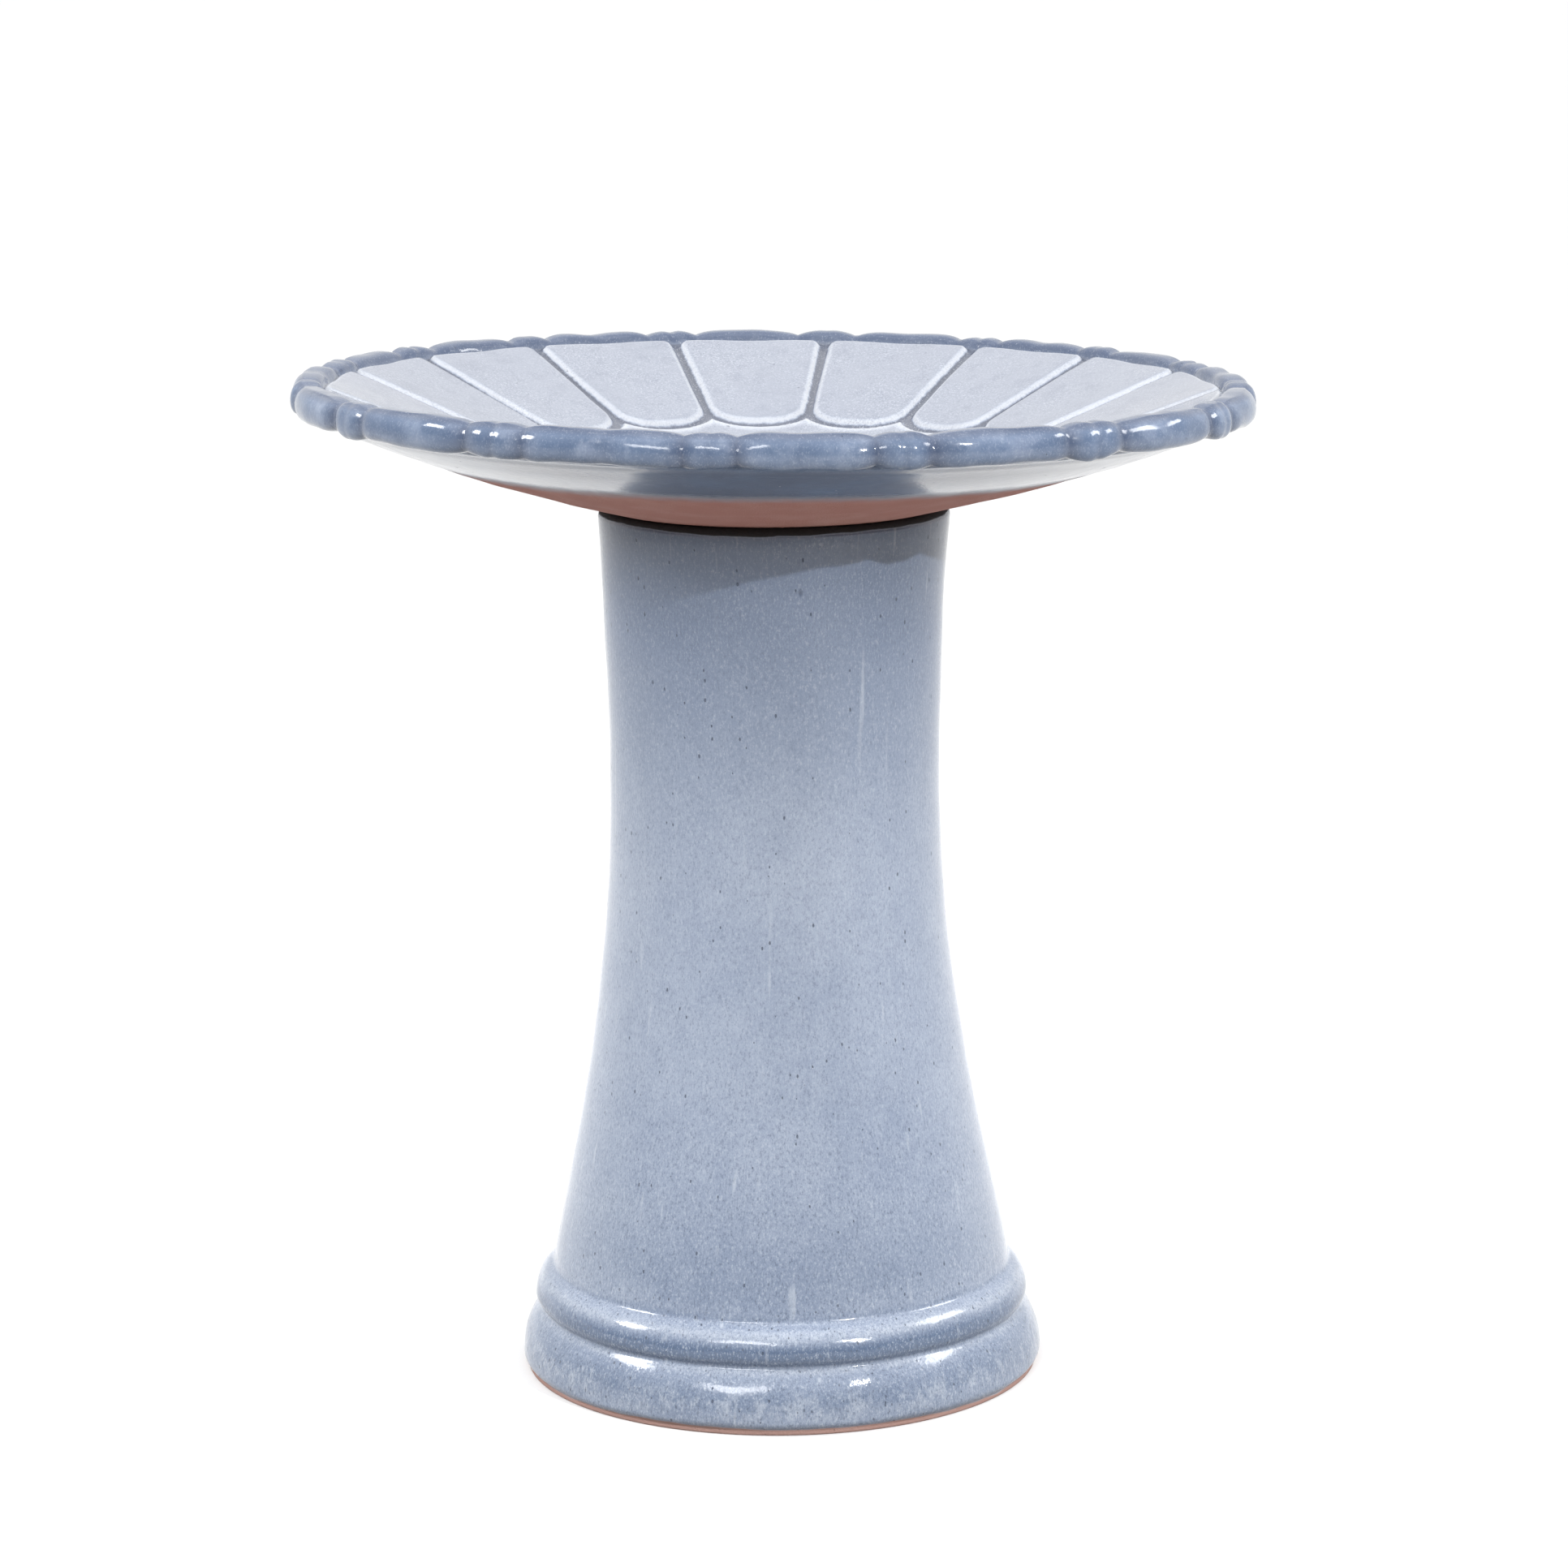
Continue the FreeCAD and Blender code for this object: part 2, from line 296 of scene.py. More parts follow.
    # Painted shade from the basin up the neck, deepest just below the seat; the faces of the mouldings and
    # the foot of the column are also darkened.
    neck_shade_and_darker = 0.95 * smooth(heights, 230, seat_height - 20) + 1.1 * np.exp(-((heights - 37.0) / 5.0) ** 2)
    neck_shade_and_darker = neck_shade_and_darker + 0.15 * smooth(heights, 385, 408) + 0.17 + 0.27 * (1 - smooth(heights, 60, 160))
    neck_shade_and_darker = neck_shade_and_darker + 0.60 * np.exp(-((heights - 18.0) / 9.0) ** 2)
    neck_shade_and_darker = neck_shade_and_darker + 0.20 * np.exp(-((heights - 70.0) / 16.0) ** 2)
    frost = 0.6 * np.exp(-((heights - 14.0) / 6.0) ** 2)
    fleck = 1.25 - 0.20 * smooth(heights, 45, 70) - 0.30 * smooth(heights, 70, 190)
    fleck = fleck - 0.10 * smooth(heights, 330, 400)
    values = {"glaze": glaze, "edge_break": shoulders, "pool": pool, "stain_and_shade": stain_and_shade,
              "neck_shade_and_darker": neck_shade_and_darker, "frost": frost, "fleck": fleck}
    grid = spun(radii, heights, angles)
    lean = COLUMN_LEAN * smooth(heights, 10, 260) * (1 - 0.6 * smooth(heights, 380, seat_height - 2))
    grid[..., 0] -= lean * math.cos(SIDE_AZIMUTH)
    grid[..., 1] -= lean * math.sin(SIDE_AZIMUTH)
    return revolved_mesh("pedestal_glazed", grid, values, None)


# ---------------------------------------------------------------- basin
def groove_angles():
    """Azimuths round the basin in degrees, closer together at every groove."""
    fine = np.arange(0, 360, 0.05)
    nearest = np.min([np.abs(angle_from(fine, groove)) for groove in GROOVES], axis=0)
    density = 1 + 2.4 / (1 + (nearest / 1.6) ** 2) + 1.4 / (1 + ((nearest - LUMP_HALF) / 1.1) ** 2)
    total = np.concatenate([[0], np.cumsum(density)])
    wanted = np.arange(AROUND_BASIN) * total[-1] / AROUND_BASIN
    return np.interp(wanted, total, np.append(fine, 360.0))


def warp_share(radii):
    """How much of the rim's warping reaches a radius."""
    return np.clip((radii - WARP_START) / WARP_SPAN, 0, None) ** 1.3


def underside_height(radii):
    """Height of the dish's underside in section, an arc from the base to the lip."""
    across = LIP_CENTRE - BASIN_BASE
    rise = UNDERSIDE_END - seat_height
    chord = math.hypot(across, rise)
    arc_radius = (chord ** 2 / 4 + UNDERSIDE_BELLY ** 2) / (2 * UNDERSIDE_BELLY)
    reach = arc_radius - UNDERSIDE_BELLY
    centre_radius = (BASIN_BASE + LIP_CENTRE) / 2 - rise / chord * reach
    centre_height = (seat_height + UNDERSIDE_END) / 2 + across / chord * reach
    return centre_height - np.sqrt(arc_radius ** 2 - (radii - centre_radius) ** 2)


def inner_height(radii):
    """Height inside the basin, level with the petals' tops: flat floor, then a straight rise."""
    straight = PETAL_START_HEIGHT + (radii - PETAL_INNER - 0.4) * PETAL_SLOPE
    return soft_max(np.full_like(radii, FLOOR_HEIGHT), straight, 9.0)


def petal_distance(radii, angles):
    """How far a point lies inside its petal's outline, negative in the grooves."""
    sides = np.full(radii.shape, 1e9)
    middle = np.full(radii.shape, 1e9)
    for number, groove in enumerate(GROOVES):
        after = GROOVES[(number + 1) % len(GROOVES)]
        width = (after - groove) % 360
        share = ((angles - groove) % 360) / width
        inside = share < 1
        to_side = np.minimum(share, 1 - share) * width
        sides = np.where(inside, radii * np.sin(np.radians(to_side)), sides)
        middle = np.where(inside, share - 0.5, middle)
    meander = 0.35 * np.sin(radii / 11 + np.floor(angles / 23) * 2.1)
    half = GROOVE_HALF + (GROOVE_HALF_RIM - GROOVE_HALF) * smooth(radii, 180, 212)
    sides = sides - half + meander * 0.4
    dip = 1.2 * np.exp(-(middle / 0.17) ** 2)
    inner = radii - PETAL_INNER + 0.6 * np.cos(middle * 9)
    outer = PETAL_OUTER - dip - radii
    distance = sides
    for end, corner in ((inner, INNER_CORNER), (outer, OUTER_CORNER)):
        rounded = corner - np.hypot(np.clip(corner - distance, 0, None), np.clip(corner - end, 0, None))
        plain = np.minimum(distance, end)
        distance = np.where((distance < corner) & (end < corner), rounded, plain)
    return distance


def relief_distance(radii, angles):
    """Distance inside a petal or the scalloped disc, negative in the grooves between them."""
    petal = petal_distance(radii, angles)
    disc = np.where(radii < 150, -petal - DISC_GAP, -1e3)
    return petal, disc


def relief_drop(distance):
    """How far the surface lies below the petals' tops at a distance inside an outline."""
    shoulder = GROOVE_DEPTH * (1 - smooth(distance, -1.4, 1.9))
    pillow = 0.45 * np.exp(-np.clip(distance, 0, None) / 5.0)
    return shoulder + pillow


def lip_outline(angles):
    """How far the lip stands in from its widest, how far it hangs down, and how its face slopes back."""
    inset = 0.45 + ripple(angles, [(0.22, 27, 0.5), (0.17, 41, 2.2), (0.08, 67, 1.1)])
    hang = 0.60 + ripple(angles, [(0.50, 23, 1.7), (0.35, 38, 0.2), (0.20, 59, 2.9)])
    slope = 0.26 + ripple(angles, [(0.07, 19, 0.9), (0.06, 34, 2.6), (0.04, 53, 0.3)])
    lumps = [LUMP_HALF + 0.6 * math.sin(number * 1.9) for number in range(len(GROOVES))]
    for number, groove in enumerate(GROOVES):
        # The narrow lump over the groove, with a shallow notch down its middle.
        offset = angle_from(angles, groove)
        across = np.clip(np.abs(offset) / lumps[number], 0, 1)
        notch = (0.6 + 0.4 * math.sin(number * 2.9)) * np.exp(-(offset / 0.7) ** 2)
        inset = inset + np.where(across < 1, LUMP_DEPTH * across ** 2.6 + notch, 0)
        hang = hang + (1.0 + 0.4 * math.sin(number * 2.4)) * np.exp(-(offset / 2.6) ** 2)
        # The wide lump from here to the next groove's narrow one, with an uneven waist.
        after = (number + 1) % len(GROOVES)
        start = groove + lumps[number]
        width = (GROOVES[after] - lumps[after] - start) % 360
        offset = angle_from(angles, start + width / 2)
        across = np.abs(offset) / (width / 2)
        waist_offset = 2.2 * math.sin(number * 3.1)
        waist = 0.45 * (1 + math.sin(number * 4.1)) * np.exp(-((offset - waist_offset) / 2.0) ** 2)
        inset = inset + np.where(across <= 1, LUMP_DEPTH * across ** 5 + waist * (1 - across), 0)
    return inset, hang, slope


def make_basin():
    angles = groove_angles()
    turn = angles[None, :]
    inset, hang, slope = lip_outline(angles)
    lip_radius = (LIP_RADIUS - 0.75 * inset)[None, :]
    lip_centre = (LIP_CENTRE - 0.25 * inset)[None, :]
    lip_height = rim_top - LIP_RADIUS - 0.05 - RIM_WARP * warp_share(LIP_CENTRE) - 0.15 * inset[None, :]

    # Inner surface, from the middle of the floor to near the top of the lip.
    plan = np.concatenate([
        np.linspace(6, 78, 12)[:-1],
        np.linspace(78, 108, 11)[:-1],
        np.linspace(108, 140, 29)[:-1],
        np.linspace(140, 202, 18)[:-1],
        np.linspace(202, LIP_CENTRE - 3.6, 22),
    ])
    stretch = smooth(plan, 202, LIP_CENTRE - 3.6)[:, None] * (lip_centre - LIP_CENTRE)
    radii = plan[:, None] + stretch
    petal, disc = relief_distance(radii, np.broadcast_to(turn, radii.shape))
    distance = np.maximum(petal, disc)
    top = inner_height(radii)
    heights = top - relief_drop(distance)
    across = np.clip(np.abs(radii - lip_centre) / lip_radius, 0, 1)
    lip_surface = lip_height + lip_radius * (1 - across ** LIP_SQUARE) ** (1 / LIP_SQUARE)
    heights = soft_max(heights, np.where(radii > 205, lip_surface, heights - 20), 1.0)
    uneven = 0.25 * np.sin(radii / 17 + np.radians(turn) * 3)
    heights = heights + uneven * smooth(radii, 20, 60) * (1 - smooth(radii, 190, 212))
    parts = [(radii, heights)]
    inner_rings = len(plan)

    # Lip, from its top over the outside to underneath.
    sweep = np.radians(np.concatenate([np.linspace(104, 30, 13), np.linspace(23, -101, 21)]))[:, None]
    fall = np.clip(-np.sin(sweep), 0, None)
    out = np.sign(np.cos(sweep)) * np.abs(np.cos(sweep)) ** (2 / LIP_SQUARE)
    up = np.sign(np.sin(sweep)) * np.abs(np.sin(sweep)) ** (2 / LIP_SQUARE)
    sloped = np.clip(up, 0, 1) * (1 - smooth(sweep, math.radians(50), math.radians(90)))
    radii = lip_centre + lip_radius * (out - slope[None, :] * sloped)
    heights = lip_height + lip_radius * up - 0.8 * hang[None, :] * fall * np.clip(np.cos(sweep) + 0.6, 0, 1)
    parts.append((radii, heights))
    lip_rings = len(sweep)

    # Underside, then the flat base, the locating ring and the recess inside it.
    plan = np.concatenate([np.linspace(216.4, 204, 8)[:-1], np.linspace(204, BASIN_BASE, 18)])
    radii = np.repeat(plan[:, None], len(angles), axis=1)
    undercut = 0.35 * np.exp(-((radii - 213.5) / 2.4) ** 2)
    heights = underside_height(radii) - RIM_WARP * warp_share(radii) + undercut
    throwing = 0.10 * np.sin(radii / 2.6) + 0.16 * np.sin(radii / 7.5 + np.radians(turn))
    heights = heights + throwing * smooth(radii, 90, 110) * (1 - smooth(radii, 205, 214))
    parts.append((radii, heights))
    under_rings = len(plan)
    base = [(75.5, seat_height), (RING_OUTER + 0.5, seat_height), (RING_OUTER, seat_height - 0.5)]
    base += [(RING_OUTER, seat_height - 5), (RING_OUTER, ring_bottom + RING_EDGE)]
    for turn_down in np.radians([-22, -45, -68, -90]):
        base.append((RING_OUTER - RING_EDGE + RING_EDGE * math.cos(turn_down),
                     ring_bottom + RING_EDGE + RING_EDGE * math.sin(turn_down)))
    for turn_up in np.radians([-90, -112, -135, -158, -180]):
        base.append((RING_INNER + RING_EDGE + RING_EDGE * math.cos(turn_up),
                     ring_bottom + RING_EDGE + RING_EDGE * math.sin(turn_up)))
    base += [(RING_INNER, seat_height - 5), (RING_INNER, seat_height - 0.6)]
    base += [(radius, seat_height) for radius in (RING_INNER - 0.6, 40.0, 20.0, 5.0)]
    base = np.array(base)
    parts.append((np.repeat(base[:, :1], len(angles), axis=1), np.repeat(base[:, 1:], len(angles), axis=1)))

    radii = np.vstack([part[0] for part in parts])
    heights = np.vstack([part[1] for part in parts])
    side = np.cos(np.radians(angles) - SIDE_AZIMUTH)[None, :]
    heights = heights - RIM_WARP * side * warp_share(radii)

    shape = radii.shape
    shoulder = np.full(shape, 30.0)
    shoulder[:inner_rings] = np.where(petal > disc, petal, disc * 0.42)
    shoulder[:inner_rings] = np.where(radii[:inner_rings] > PETAL_OUTER + 2.5, -2.0, shoulder[:inner_rings])
    lip = np.zeros(shape)
    rolled = smooth(radii[:inner_rings], PETAL_OUTER - 0.5, PETAL_OUTER + 2.0)
    lip[:inner_rings] = rolled
    lip[inner_rings:inner_rings + lip_rings] = 1
    under = 1 - smooth(-radii, -216.0, -207.5)
    lip[inner_rings + lip_rings:] = under[inner_rings + lip_rings:]
    # Painted shade in the notches between the lip's lumps.
    notch = np.zeros(shape)
    notch[inner_rings:inner_rings + lip_rings] = np.clip(inset / 2.2 - 0.2, 0, 1)[None, :]
    crown = np.zeros(shape)
    crown[:inner_rings] = rolled
    crown[inner_rings:inner_rings + lip_rings] = 1 - smooth(np.sin(-sweep), -0.86, -0.25)
    glaze = np.full(shape, 30.0)
    edge_waves = [(5.0, 1, 3.2), (1.6, 2, 0.3), (0.9, 5, 1.9), (0.5, 13, 0.7), (0.3, 31, 2.6)]
    edge = BARE_UNDERSIDE + ripple(angles, edge_waves)
    below = inner_rings + lip_rings
    glaze[below:] = radii[below:] - edge[None, :]
    glaze[below + under_rings:] = -40
    covered_below = np.zeros(shape)
    covered_below[below:] = 1 - under[below:]
    values = {"glaze": glaze, "shoulder": shoulder, "lip": lip, "notch": notch, "crown": crown,
              "under": covered_below}
    poles = [(0, 0, FLOOR_HEIGHT), (0, 0, seat_height)]
    return revolved_mesh("basin_glazed", spun(radii, heights, angles), values, poles)


# ---------------------------------------------------------------- materials
class Shader:
    """Adds nodes to one material and joins them up."""

    def __init__(self, name):
        self.material = bpy.data.materials.new(name)
        self.material.use_nodes = True
        self.tree = self.material.node_tree
        self.surface = self.tree.nodes["Principled BSDF"]
        self.place = self.tree.nodes.new("ShaderNodeTexCoord").outputs["Object"]

    def put(self, socket, value):
        if isinstance(value, bpy.types.NodeSocket):
            self.tree.links.new(value, socket)
        elif isinstance(value, tuple) and len(value) == 3 and socket.type == "RGBA":
            socket.default_value = (*value, 1)
        else:
            socket.default_value = value

    def stretched(self, x, y, z):
        """Object coordinates in metres, scaled along each axis."""
        node = self.tree.nodes.new("ShaderNodeVectorMath")
        node.operation = "MULTIPLY"
        self.put(node.inputs[0], self.place)
        node.inputs[1].default_value = (x, y, z)
        return node.outputs[0]

    def noise(self, vector, detail=3.0, roughness=0.5):
        node = self.tree.nodes.new("ShaderNodeTexNoise")
        self.put(node.inputs["Vector"], vector)
        node.inputs["Scale"].default_value = 1.0
        node.inputs["Detail"].default_value = detail
        node.inputs["Roughness"].default_value = roughness
        return node.outputs["Fac"]

    def cells(self, vector):
        """Distance to the nearest of many scattered points, with one per unit of vector."""
        node = self.tree.nodes.new("ShaderNodeTexVoronoi")
        self.put(node.inputs["Vector"], vector)
        node.inputs["Scale"].default_value = 1.0
        return node.outputs["Distance"], node.outputs["Color"]

    def attribute(self, name):
        node = self.tree.nodes.new("ShaderNodeAttribute")
        node.attribute_name = name
        return node.outputs["Fac"]

    def eased(self, value, low, high, start=0.0, end=1.0):
        """start below low, end above high, eased in between."""
        node = self.tree.nodes.new("ShaderNodeMapRange")
        node.interpolation_type = "SMOOTHSTEP"
        self.put(node.inputs["Value"], value)
        node.inputs["From Min"].default_value = low
        node.inputs["From Max"].default_value = high
        node.inputs["To Min"].default_value = start
        node.inputs["To Max"].default_value = end
        return node.outputs["Result"]

    def calc(self, operation, first, second=0.0):
        node = self.tree.nodes.new("ShaderNodeMath")
        node.operation = operation
        self.put(node.inputs[0], first)
        self.put(node.inputs[1], second)
        return node.outputs[0]

    def blend(self, first, second, share):
        """Colour first where share is 0, second where it is 1."""
        node = self.tree.nodes.new("ShaderNodeMix")
        node.data_type = "RGBA"
        self.put(node.inputs["Factor"], share)
        self.put(node.inputs["A"], first)
        self.put(node.inputs["B"], second)
        return node.outputs["Result"]

    def level(self, first, second, share):
        """Number first where share is 0, second where it is 1."""
        node = self.tree.nodes.new("ShaderNodeMix")
        node.data_type = "FLOAT"
        self.put(node.inputs["Factor"], share)
        self.put(node.inputs["A"], first)
        self.put(node.inputs["B"], second)
        return node.outputs["Result"]

    def bump(self, height, depth, normal=None):
        """Surface normal bent by height, which rises depth metres from 0 to 1."""
        node = self.tree.nodes.new("ShaderNodeBump")
        node.inputs["Strength"].default_value = 1.0
        node.inputs["Distance"].default_value = depth
        self.put(node.inputs["Height"], height)
        if normal:
            self.put(node.inputs["Normal"], normal)
        return node.outputs["Normal"]


GLAZE_PALE = (0.400, 0.450, 0.545)
GLAZE_MID = (0.270, 0.320, 0.425)
GLAZE_DEEP = (0.115, 0.160, 0.250)
GLAZE_SPECK = (0.045, 0.060, 0.095)
GLAZE_PANEL = (0.215, 0.224, 0.256)
GLAZE_GROOVE = (0.072, 0.078, 0.105)
GLAZE_LINE = (0.440, 0.445, 0.460)
GLAZE_FLECK = (0.120, 0.145, 0.200)
GLAZE_CROWN = (0.045, 0.060, 0.108)
GLAZE_THIN = (0.300, 0.285, 0.300)
GLAZE_UNDER = (0.105, 0.120, 0.170)
GLAZE_BREAK = (0.600, 0.640, 0.700)
CLAY = (0.430, 0.195, 0.155)
CLAY_PALE = (0.520, 0.280, 0.230)
CLAY_FOOT = (0.520, 0.390, 0.350)
CLAY_DARK = (0.026, 0.025, 0.026)


def clay_colour(shader):
    """Bare terracotta with fine grain and paler dust."""
    grain = shader.noise(shader.stretched(900, 900, 900), 4.0, 0.6)
    cloud = shader.noise(shader.stretched(45, 45, 45), 3.0)
    colour = shader.blend(CLAY, CLAY_PALE, shader.eased(cloud, 0.35, 0.75, 0.0, 0.55))
    return shader.blend(colour, CLAY_DARK, shader.eased(grain, 0.60, 0.78, 0.0, 0.22)), grain


def glaze_colour(shader, streak_height):
    """Broad clouds of blue-grey glaze, and the fine flecks that speckled() lays over it."""
    cloud = shader.noise(shader.stretched(17, 17, 12), 4.0, 0.55)
    patch = shader.noise(shader.stretched(95, 95, 66), 4.0, 0.6)
    fleck = shader.noise(shader.stretched(950, 950, 950 * streak_height), 3.0, 0.65)
    grain = shader.noise(shader.stretched(1700, 1700, 1100), 2.0, 0.6)
    share = shader.calc("ADD", shader.calc("MULTIPLY", cloud, 0.55), shader.calc("MULTIPLY", patch, 0.45))
    colour = shader.blend(GLAZE_MID, GLAZE_PALE, shader.eased(share, 0.28, 0.70, 0.20, 0.85))
    speckle = shader.calc("ADD", shader.calc("MULTIPLY", fleck, 0.6), shader.calc("MULTIPLY", grain, 0.4))
    return colour, cloud, patch, speckle


def speckled(shader, colour, speckle, strength, lightest):
    """The colour with dark flecks over it, and light ones up to a share of lightest."""
    light = shader.eased(speckle, 0.50, 0.66, 0.0, lightest)
    dark = shader.eased(speckle, 0.50, 0.34, 0.0, 0.62)
    colour = shader.blend(colour, GLAZE_BREAK, shader.calc("MULTIPLY", light, strength))
    return shader.blend(colour, GLAZE_FLECK, shader.calc("MULTIPLY", dark, strength))


def pinholes(shader, spread, length, share, largest):
    """Scattered pinholes: spread to the metre, a share of them open, up to largest of their spacing.

    A length below 1 draws them out up and down.
    """
    near, shade = shader.cells(shader.stretched(spread, spread, spread * length))
    split = shader.tree.nodes.new("ShaderNodeSeparateColor")
    shader.put(split.inputs["Color"], shade)
    size = shader.eased(split.outputs["Red"], 1.0 - share, 1.0, -0.04, largest)
    return shader.eased(shader.calc("SUBTRACT", near, size), 0.03, -0.02)


def glazed_clay(name, for_basin):
    shader = Shader(name)
    glaze = shader.attribute("glaze")
    streak_height = 0.8 if for_basin else 0.45
    colour, cloud, patch, fleck = glaze_colour(shader, streak_height)

    if for_basin:
        ragged = shader.noise(shader.stretched(260, 260, 260), 3.0)
        wander = shader.calc("MULTIPLY", shader.calc("SUBTRACT", ragged, 0.5), 1.1)
        shoulder = shader.calc("ADD", shader.attribute("shoulder"), wander)
        rise = shader.eased(shoulder, -0.6, 0.6)
        fade = shader.eased(shoulder, 3.2, 0.4)
        broken = shader.calc("MULTIPLY", rise, fade)
        # Painted shade down the grooves between the petals, blended in below towards GLAZE_GROOVE.
        groove_shade = shader.eased(shoulder, 0.3, -0.7)
        sandy = shader.eased(shader.noise(shader.stretched(30, 30, 30), 3.0, 0.6), 0.35, 0.7, 0.35, 0.85)
        colour = shader.blend(colour, GLAZE_PANEL, shader.eased(shoulder, 0.5, 3.0, 0.0, 0.75))
        colour = shader.blend(colour, GLAZE_UNDER, shader.eased(patch, 0.46, 0.70, 0.0, 0.22))
        colour = shader.blend(colour, GLAZE_LINE, shader.calc("MULTIPLY", broken, 0.75))
        colour = shader.blend(colour, GLAZE_GROOVE, shader.calc("MULTIPLY", groove_shade, 0.90))
        colour = speckled(shader, colour, fleck, sandy, 0.42)
        lip = shader.attribute("lip")
        drift = shader.noise(shader.stretched(55, 55, 75), 3.0, 0.6)
        lip_colour = shader.blend(GLAZE_DEEP, GLAZE_MID, shader.eased(drift, 0.42, 0.75, 0.0, 0.58))
        lip_colour = shader.blend(lip_colour, GLAZE_PALE, shader.eased(patch, 0.52, 0.75, 0.0, 0.25))
        # The lip darkens towards GLAZE_CROWN in its notches, as painted shade, and along its crown.
        notch_shade_and_dark_crown = shader.calc("MAXIMUM", shader.attribute("notch"), shader.attribute("crown"))
        lip_colour = shader.blend(lip_colour, GLAZE_CROWN, shader.calc("MULTIPLY", notch_shade_and_dark_crown, 0.75))
        lip_colour = speckled(shader, lip_colour, fleck, 0.35, 0.42)
        colour = shader.blend(colour, lip_colour, lip)
        under = shader.attribute("under")
        under_colour = shader.blend(GLAZE_UNDER, GLAZE_DEEP, shader.eased(cloud, 0.4, 0.7))
        colour = shader.blend(colour, under_colour, under)
        fine_pits = pinholes(shader, 260, 1.0, 0.30, 0.10)
        large_pits = pinholes(shader, 80, 1.0, 0.25, 0.055)
        pits = shader.calc("MAXIMUM", fine_pits, large_pits)
        colour = shader.blend(colour, GLAZE_SPECK, shader.calc("MULTIPLY", pits, 0.5))
    else:
        edge = shader.noise(shader.stretched(240, 240, 240), 3.0)
        patchy = shader.eased(edge, 0.30, 0.62, 0.35, 1.0)
        worn = shader.calc("MULTIPLY", shader.attribute("edge_break"), patchy)
        colour = shader.blend(colour, GLAZE_BREAK, shader.calc("MULTIPLY", worn, 0.62))
        colour = shader.blend(colour, GLAZE_DEEP, shader.calc("MULTIPLY", shader.attribute("pool"), 0.6))
        # Painted shade of the basin on the neck, and the darker mouldings and column foot, all towards
        # GLAZE_DEEP.
        colour = shader.blend(colour, GLAZE_DEEP, shader.calc("MULTIPLY", shader.attribute("neck_shade_and_darker"), 0.70))
        crystals = shader.noise(shader.stretched(150, 150, 95), 4.0, 0.65)
        frosted = shader.calc("MULTIPLY", shader.attribute("frost"), shader.eased(crystals, 0.44, 0.62))
        colour = shader.blend(colour, GLAZE_BREAK, shader.calc("MULTIPLY", frosted, 0.55))
        colour = speckled(shader, colour, fleck, shader.attribute("fleck"), 0.32)
        drip = shader.noise(shader.stretched(210, 210, 7), 2.0, 0.4)
        colour = shader.blend(colour, GLAZE_BREAK, shader.eased(drip, 0.66, 0.80, 0.0, 0.35))
        low_down = shader.eased(shader.attribute("fleck"), 0.95, 1.2, 0.0, 0.8)
        bead_pits = shader.calc("MULTIPLY", pinholes(shader, 380, 0.5, 0.60, 0.16), low_down)
        fine_pits = pinholes(shader, 300, 0.55, 0.45, 0.15)
        large_pits = pinholes(shader, 42, 0.6, 0.30, 0.060)
        pits = shader.calc("MAXIMUM", shader.calc("MAXIMUM", fine_pits, large_pits), bead_pits)
        colour = shader.blend(colour, GLAZE_SPECK, shader.calc("MULTIPLY", pits, 0.75))

    clay, grain = clay_colour(shader)
    if not for_basin:
        clay = shader.blend(clay, CLAY_FOOT, 0.5)
        # Stain and painted shade darken the bare clay near the seat.
        clay = shader.blend(clay, CLAY_DARK, shader.attribute("stain_and_shade"))
    border = shader.noise(shader.stretched(120, 120, 120), 4.0, 0.6)
    border_width = 8.0 if for_basin else 0.9
    border_fade = 13.0 if for_basin else 0.5
    border_shift = shader.calc("MULTIPLY", shader.calc("SUBTRACT", border, 0.5), border_width)
    covered = shader.eased(shader.calc("ADD", glaze, border_shift), -border_width * 0.40, border_fade)
    thin_start, thin_end, thin_share = (20.0, 6.0, 0.75) if for_basin else (2.7, 0.0, 0.35)
    thin = shader.eased(glaze, thin_start, thin_end, 0.0, thin_share)
    colour = shader.blend(colour, GLAZE_THIN, thin)
    shader.put(shader.surface.inputs["Base Color"], shader.blend(clay, colour, covered))

    gloss = shader.level(0.07, 0.15, shader.eased(patch, 0.3, 0.7))
    gloss = shader.calc("ADD", gloss, shader.calc("MULTIPLY", pits, 0.3))
    gloss = shader.calc("ADD", gloss, shader.calc("MULTIPLY", thin, 0.5))
    shader.put(shader.surface.inputs["Roughness"], shader.level(0.92, gloss, covered))
    shader.surface.inputs["IOR"].default_value = 1.46

    orange_peel = shader.noise(shader.stretched(330, 330, 330), 2.0, 0.5)
    normal = shader.bump(orange_peel, 0.00005 if for_basin else 0.00009)
    normal = shader.bump(fleck, 0.00004, normal)
    rough_clay = shader.calc("MULTIPLY", grain, shader.calc("SUBTRACT", 1.0, covered))
    normal = shader.bump(rough_clay, 0.0004, normal)
    sunk = shader.calc("MULTIPLY", pits, -1.0)
    normal = shader.bump(sunk, 0.0003, normal)
    normal = shader.bump(covered, 0.0005, normal)
    shader.put(shader.surface.inputs["Normal"], normal)
    return shader.material


pedestal = make_pedestal()
pedestal.data.materials.append(glazed_clay("blue_glaze_pedestal", False))
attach(pedestal, "pedestal")
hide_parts("pedestal")

basin = make_basin()
basin.data.materials.append(glazed_clay("blue_glaze_basin", True))
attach(basin, "basin")
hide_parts("basin")


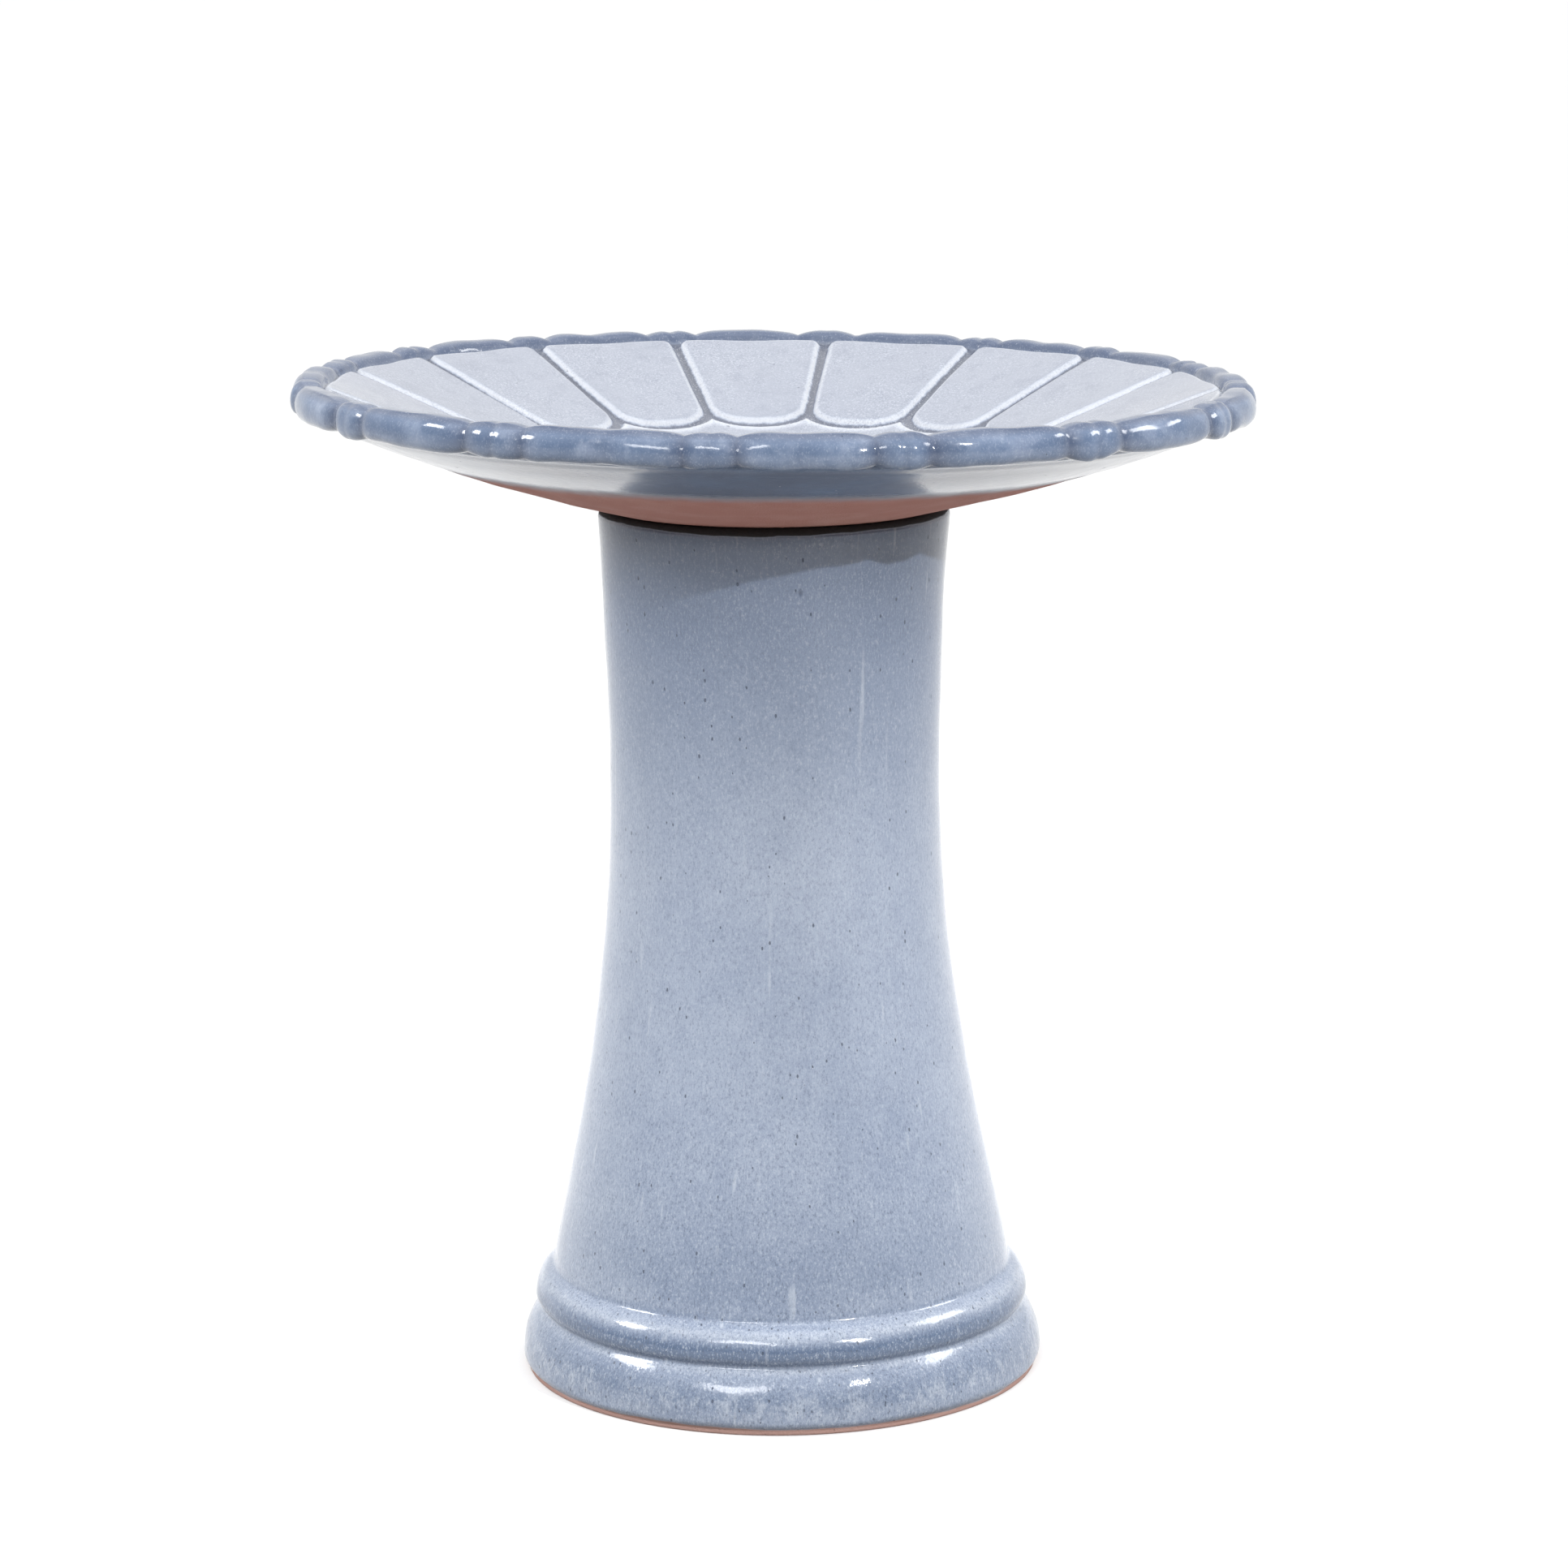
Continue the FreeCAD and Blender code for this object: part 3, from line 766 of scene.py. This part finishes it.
# ---------------------------------------------------------------- floor, lights and camera
def make_floor(radius):
    """Round white floor that throws less light back up than it shows."""
    rim = [(radius * math.cos(a), radius * math.sin(a), 0) for a in np.linspace(0, 2 * math.pi, 97)[:-1]]
    mesh = bpy.data.meshes.new("floor")
    mesh.from_pydata(rim, [], [list(range(len(rim)))])
    floor = bpy.data.objects.new("floor", mesh)
    bpy.context.scene.collection.objects.link(floor)
    paint = Shader("floor_white")
    bounced = paint.tree.nodes.new("ShaderNodeLightPath").outputs["Is Diffuse Ray"]
    paint.put(paint.surface.inputs["Base Color"], paint.blend(FLOOR_SEEN, FLOOR_BOUNCE, bounced))
    paint.put(paint.surface.inputs["Emission Strength"], paint.level(FLOOR_GLOW, 0.0, bounced))
    paint.surface.inputs["Emission Color"].default_value = (1, 1, 1, 1)
    paint.surface.inputs["Roughness"].default_value = 0.8
    paint.surface.inputs["Specular IOR Level"].default_value = 0.0
    mesh.materials.append(paint.material)


ROOM_BACKDROP = 1.00
ROOM_BEHIND_CAMERA = 0.10
ROOM_ABOVE = 1.55
FLOOR_RADIUS = 40.0
FLOOR_SEEN = (0.70, 0.70, 0.70)
FLOOR_BOUNCE = (0.20, 0.20, 0.20)
FLOOR_GLOW = 0.12
VIEW_AZIMUTH = 97.3                    # the way the camera looks, degrees round +Z from +X
CAMERA_PLACE = Vector((0.2899, -2.2363, 0.729))
CAMERA_DOWN = 11.03
CAMERA_ROLL = -0.47
CAMERA_LENS = 109.6                    # mm, with the sensor's width also in mm
CAMERA_SENSOR = 36
LAMP_AIM = Vector((0, 0, 0.3))


def make_camera():
    data = bpy.data.cameras.new("camera")
    data.lens = CAMERA_LENS
    data.sensor_width = CAMERA_SENSOR
    data.clip_start = 0.1
    data.clip_end = 200
    camera = bpy.data.objects.new("camera", data)
    bpy.context.scene.collection.objects.link(camera)
    azimuth = math.radians(VIEW_AZIMUTH)
    down = math.radians(CAMERA_DOWN)
    level = math.cos(down)
    ahead = Vector((math.cos(azimuth) * level, math.sin(azimuth) * level, -math.sin(down)))
    aim = ahead.to_track_quat("-Z", "Y")
    camera.rotation_mode = "QUATERNION"
    camera.rotation_quaternion = aim @ Quaternion((0, 0, 1), math.radians(CAMERA_ROLL))
    camera.location = CAMERA_PLACE
    bpy.context.scene.camera = camera


def make_softbox(name, azimuth, elevation, distance, width, height, radiance):
    """Rectangular lamp that faces the object."""
    data = bpy.data.lights.new(name, "AREA")
    data.shape = "RECTANGLE"
    data.size = width
    data.size_y = height
    data.energy = radiance * math.pi * width * height
    aimed(bpy.data.objects.new(name, data), azimuth, elevation, distance)


def aimed(lamp, azimuth, elevation, distance):
    """Puts a lamp round the object, facing it. Azimuth is in degrees from the camera, to its right."""
    bpy.context.scene.collection.objects.link(lamp)
    turn = math.radians(VIEW_AZIMUTH + 180 + azimuth)
    rise = math.radians(elevation)
    away = Vector((math.cos(turn) * math.cos(rise), math.sin(turn) * math.cos(rise), math.sin(rise)))
    lamp.location = LAMP_AIM + away * distance
    lamp.rotation_mode = "QUATERNION"
    lamp.rotation_quaternion = (-away).to_track_quat("-Z", "Y")


def make_bulb(name, azimuth, elevation, distance, radius, power):
    """Small bare lamp, which gives sharp shadows and pinpoint highlights."""
    data = bpy.data.lights.new(name, "POINT")
    data.shadow_soft_size = radius
    data.energy = power
    aimed(bpy.data.objects.new(name, data), azimuth, elevation, distance)


def make_world():
    """Room that looks white to the camera, and as light is brighter above and darker behind the camera."""
    world = bpy.data.worlds.new("studio")
    bpy.context.scene.world = world
    world.use_nodes = True
    tree = world.node_tree
    background = tree.nodes["Background"]
    direction = tree.nodes.new("ShaderNodeTexCoord").outputs["Generated"]
    split = tree.nodes.new("ShaderNodeSeparateXYZ")
    tree.links.new(direction, split.inputs[0])
    toward = tree.nodes.new("ShaderNodeVectorMath")
    toward.operation = "DOT_PRODUCT"
    azimuth = math.radians(VIEW_AZIMUTH)
    toward.inputs[1].default_value = (-math.cos(azimuth), -math.sin(azimuth), 0)
    tree.links.new(direction, toward.inputs[0])
    dark = tree.nodes.new("ShaderNodeMapRange")
    dark.interpolation_type = "SMOOTHSTEP"
    dark.inputs["From Min"].default_value = -0.6
    dark.inputs["From Max"].default_value = 0.25
    dark.inputs["To Min"].default_value = ROOM_BACKDROP
    dark.inputs["To Max"].default_value = ROOM_BEHIND_CAMERA
    tree.links.new(toward.outputs["Value"], dark.inputs["Value"])
    up = tree.nodes.new("ShaderNodeMapRange")
    up.interpolation_type = "SMOOTHSTEP"
    up.inputs["From Min"].default_value = 0.20
    up.inputs["From Max"].default_value = 0.80
    tree.links.new(split.outputs["Z"], up.inputs["Value"])
    room = tree.nodes.new("ShaderNodeMix")
    room.data_type = "FLOAT"
    tree.links.new(up.outputs["Result"], room.inputs["Factor"])
    tree.links.new(dark.outputs["Result"], room.inputs["A"])
    room.inputs["B"].default_value = ROOM_ABOVE
    seen = tree.nodes.new("ShaderNodeLightPath").outputs["Is Camera Ray"]
    choice = tree.nodes.new("ShaderNodeMix")
    choice.data_type = "FLOAT"
    tree.links.new(seen, choice.inputs["Factor"])
    tree.links.new(room.outputs["Result"], choice.inputs["A"])
    choice.inputs["B"].default_value = 1.0
    background.inputs["Color"].default_value = (1, 1, 1, 1)
    tree.links.new(choice.outputs["Result"], background.inputs["Strength"])


make_floor(FLOOR_RADIUS)
make_world()
make_softbox("key", -19, 26, 2.2, 1.00, 0.30, 15.0)
make_bulb("bulb", 37, 25, 2.2, 0.012, 88.0)
make_softbox("right", 90, 30, 2.0, 0.80, 0.40, 14.0)
make_softbox("left", -81, 30, 2.0, 0.60, 0.40, 27.0)
make_softbox("top", 20, 80, 2.2, 1.60, 1.60, 1.0)
make_camera()
bpy.context.scene.view_settings.view_transform = "Standard"
